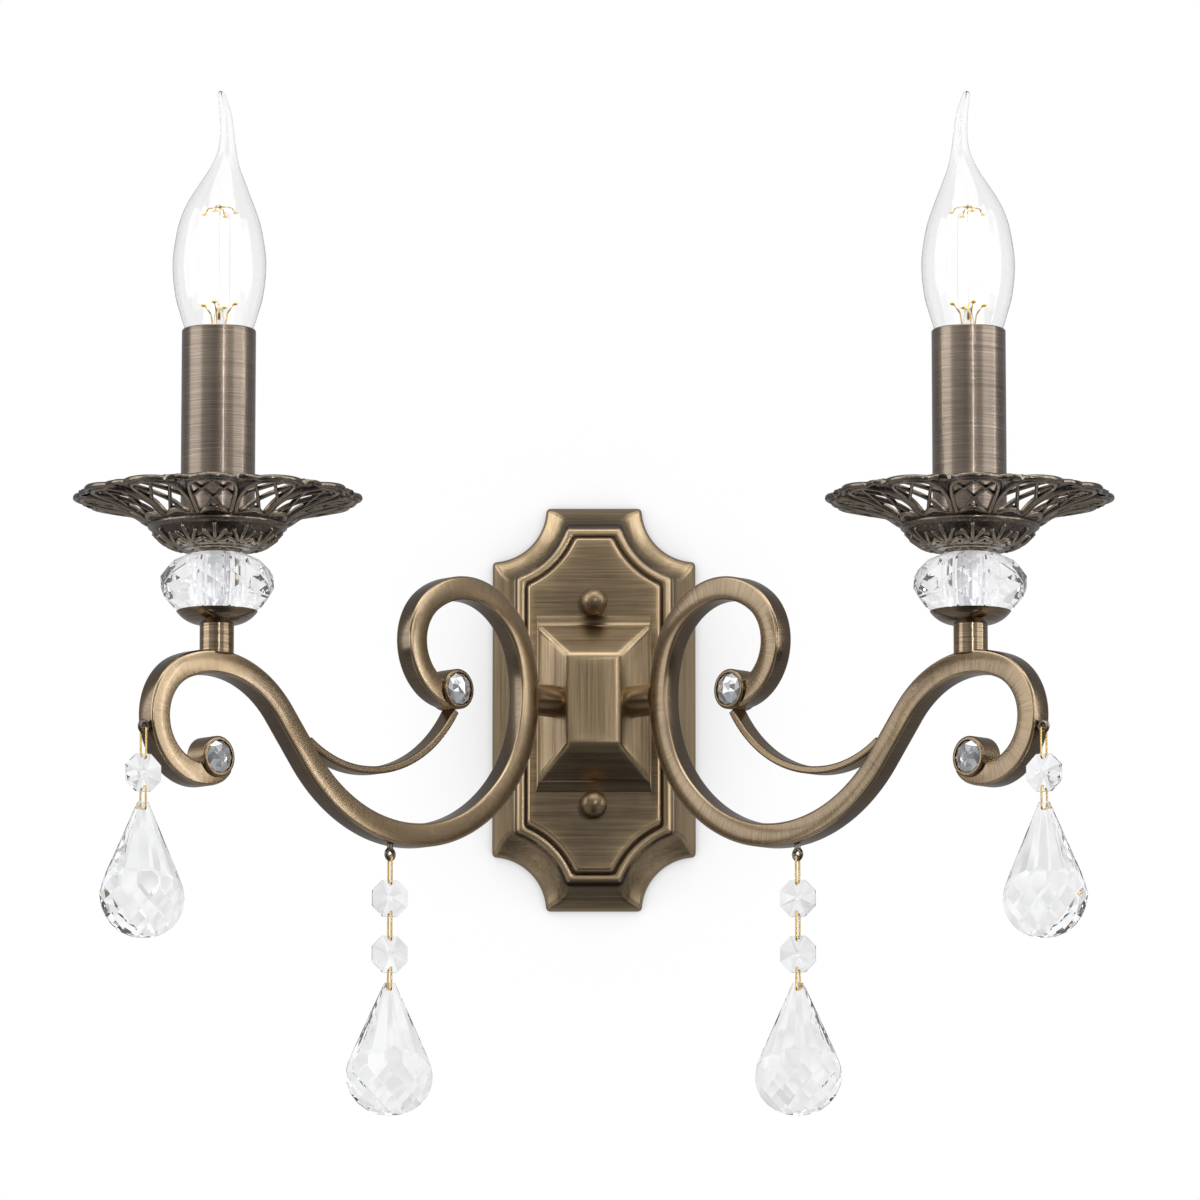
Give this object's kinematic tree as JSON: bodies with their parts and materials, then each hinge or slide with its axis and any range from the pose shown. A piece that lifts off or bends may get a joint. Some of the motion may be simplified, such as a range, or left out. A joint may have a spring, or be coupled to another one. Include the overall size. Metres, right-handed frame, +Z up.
{
  "type": "wall sconce",
  "caption": "Wall sconce with scrolled square-tube arms, pierced drip pans, candle sleeves, bent-tip bulbs and swinging cut-crystal strands on a stepped back plate.",
  "frame": {"origin": "middle of the back face of the wall bracket and back plate, on the wall", "axes": "+X to the right seen from the front, +Y into the wall, +Z up; the lamp stands out towards -Y"},
  "size_m": [0.3924, 0.2056, 0.3841],
  "materials": {
    "antique_brass": "brushed antique brass, lacquered",
    "brushed_bronze": "fine brushed round the tube",
    "dark_bronze": "cast, oxidised, edges rubbed bright",
    "gold_wire": "bright gold plated",
    "crystal": "clear cut crystal",
    "bulb_glass": "clear blown glass",
    "bulb_brass": "rolled thread",
    "filament": "lit warm filament sticks on a glass stem",
    "zinc_steel": "zinc plated",
    "white_plastic": "moulded"
  },
  "bodies": {
    "frame": {"back_plate": "antique_brass", "wall_bracket": "zinc_steel", "bracket_studs": "zinc_steel", "cap_nuts": "antique_brass", "terminal_block": "white_plastic", "terminal_screws": "zinc_steel", "earth_screw": "zinc_steel", "arm_stubs": "antique_brass", "stub_nuts": "zinc_steel", "scroll_cups": "antique_brass", "scroll_gems": "crystal", "hook_eyes": "dark_bronze", "rod_nuts": "zinc_steel", "left_arm_tube": "antique_brass", "left_arm_brace": "antique_brass", "left_stem": "antique_brass", "left_bead_cup": "antique_brass", "left_glass_bead": "crystal", "left_threaded_rod": "zinc_steel", "left_bobeche": "dark_bronze", "left_lampholder": "white_plastic", "left_candle_sleeve": "brushed_bronze", "right_arm_tube": "antique_brass", "right_arm_brace": "antique_brass", "right_stem": "antique_brass", "right_bead_cup": "antique_brass", "right_glass_bead": "crystal", "right_threaded_rod": "zinc_steel", "right_bobeche": "dark_bronze", "right_lampholder": "white_plastic", "right_candle_sleeve": "brushed_bronze"},
    "left_bulb": {"left_bulb_glass": "bulb_glass", "left_bulb_cap": "bulb_brass", "left_bulb_filament": "filament"},
    "left_inner_link_1": {"left_inner_link_1": "gold_wire"},
    "left_inner_bead_1": {"left_inner_bead_1": "crystal", "left_inner_link_2": "gold_wire"},
    "left_inner_bead_2": {"left_inner_bead_2": "crystal", "left_inner_link_3": "gold_wire"},
    "left_inner_drop": {"left_inner_drop": "crystal"},
    "left_outer_link_1": {"left_outer_link_1": "gold_wire"},
    "left_outer_bead": {"left_outer_bead": "crystal", "left_outer_link_2": "gold_wire"},
    "left_outer_drop": {"left_outer_drop": "crystal"},
    "right_bulb": {"right_bulb_glass": "bulb_glass", "right_bulb_cap": "bulb_brass", "right_bulb_filament": "filament"},
    "right_inner_link_1": {"right_inner_link_1": "gold_wire"},
    "right_inner_bead_1": {"right_inner_bead_1": "crystal", "right_inner_link_2": "gold_wire"},
    "right_inner_bead_2": {"right_inner_bead_2": "crystal", "right_inner_link_3": "gold_wire"},
    "right_inner_drop": {"right_inner_drop": "crystal"},
    "right_outer_link_1": {"right_outer_link_1": "gold_wire"},
    "right_outer_bead": {"right_outer_bead": "crystal", "right_outer_link_2": "gold_wire"},
    "right_outer_drop": {"right_outer_drop": "crystal"}
  },
  "joints": [
    {"name": "left_bulb_unscrew", "type": "slide", "parent": "frame", "child": "left_bulb", "axis": [0, 0, 1], "range_m": [0, 0.028]},
    {"name": "left_inner_link_swing", "type": "hinge", "parent": "frame", "child": "left_inner_link_1", "pos_m": [-0.07786, -0.08726, -0.06812], "axis": [0.9563, 0.2924, 0], "range_deg": [-20, 20]},
    {"name": "left_inner_bead_1_swing", "type": "hinge", "parent": "left_inner_link_1", "child": "left_inner_bead_1", "pos_m": [-0.07786, -0.08726, -0.0792], "axis": [0.2924, -0.9563, 0], "range_deg": [-25, 25]},
    {"name": "left_inner_bead_2_swing", "type": "hinge", "parent": "left_inner_bead_1", "child": "left_inner_bead_2", "pos_m": [-0.07786, -0.08726, -0.1006], "axis": [0.2924, -0.9563, 0], "range_deg": [-25, 25]},
    {"name": "left_inner_drop_swing", "type": "hinge", "parent": "left_inner_bead_2", "child": "left_inner_drop", "pos_m": [-0.07786, -0.08726, -0.1197], "axis": [0.2924, -0.9563, 0], "range_deg": [-30, 30]},
    {"name": "left_outer_link_swing", "type": "hinge", "parent": "frame", "child": "left_outer_link_1", "pos_m": [-0.16717, -0.17883, -0.03102], "axis": [0.8829, 0.4695, 0], "range_deg": [-20, 20]},
    {"name": "left_outer_bead_swing", "type": "hinge", "parent": "left_outer_link_1", "child": "left_outer_bead", "pos_m": [-0.16717, -0.17883, -0.0425], "axis": [0.4695, -0.8829, 0], "range_deg": [-35, 8]},
    {"name": "left_outer_drop_swing", "type": "hinge", "parent": "left_outer_bead", "child": "left_outer_drop", "pos_m": [-0.16717, -0.17883, -0.0616], "axis": [0.4695, -0.8829, 0], "range_deg": [-35, 20]},
    {"name": "right_bulb_unscrew", "type": "slide", "parent": "frame", "child": "right_bulb", "axis": [0, 0, 1], "range_m": [0, 0.028]},
    {"name": "right_inner_link_swing", "type": "hinge", "parent": "frame", "child": "right_inner_link_1", "pos_m": [0.07786, -0.08726, -0.06812], "axis": [0.9563, -0.2924, 0], "range_deg": [-20, 20]},
    {"name": "right_inner_bead_1_swing", "type": "hinge", "parent": "right_inner_link_1", "child": "right_inner_bead_1", "pos_m": [0.07786, -0.08726, -0.0792], "axis": [-0.2924, -0.9563, 0], "range_deg": [-25, 25]},
    {"name": "right_inner_bead_2_swing", "type": "hinge", "parent": "right_inner_bead_1", "child": "right_inner_bead_2", "pos_m": [0.07786, -0.08726, -0.1006], "axis": [-0.2924, -0.9563, 0], "range_deg": [-25, 25]},
    {"name": "right_inner_drop_swing", "type": "hinge", "parent": "right_inner_bead_2", "child": "right_inner_drop", "pos_m": [0.07786, -0.08726, -0.1197], "axis": [-0.2924, -0.9563, 0], "range_deg": [-30, 30]},
    {"name": "right_outer_link_swing", "type": "hinge", "parent": "frame", "child": "right_outer_link_1", "pos_m": [0.16717, -0.17883, -0.03102], "axis": [0.8829, -0.4695, 0], "range_deg": [-20, 20]},
    {"name": "right_outer_bead_swing", "type": "hinge", "parent": "right_outer_link_1", "child": "right_outer_bead", "pos_m": [0.16717, -0.17883, -0.0425], "axis": [-0.4695, -0.8829, 0], "range_deg": [-8, 35]},
    {"name": "right_outer_drop_swing", "type": "hinge", "parent": "right_outer_bead", "child": "right_outer_drop", "pos_m": [0.16717, -0.17883, -0.0616], "axis": [-0.4695, -0.8829, 0], "range_deg": [-20, 35]}
  ]
}
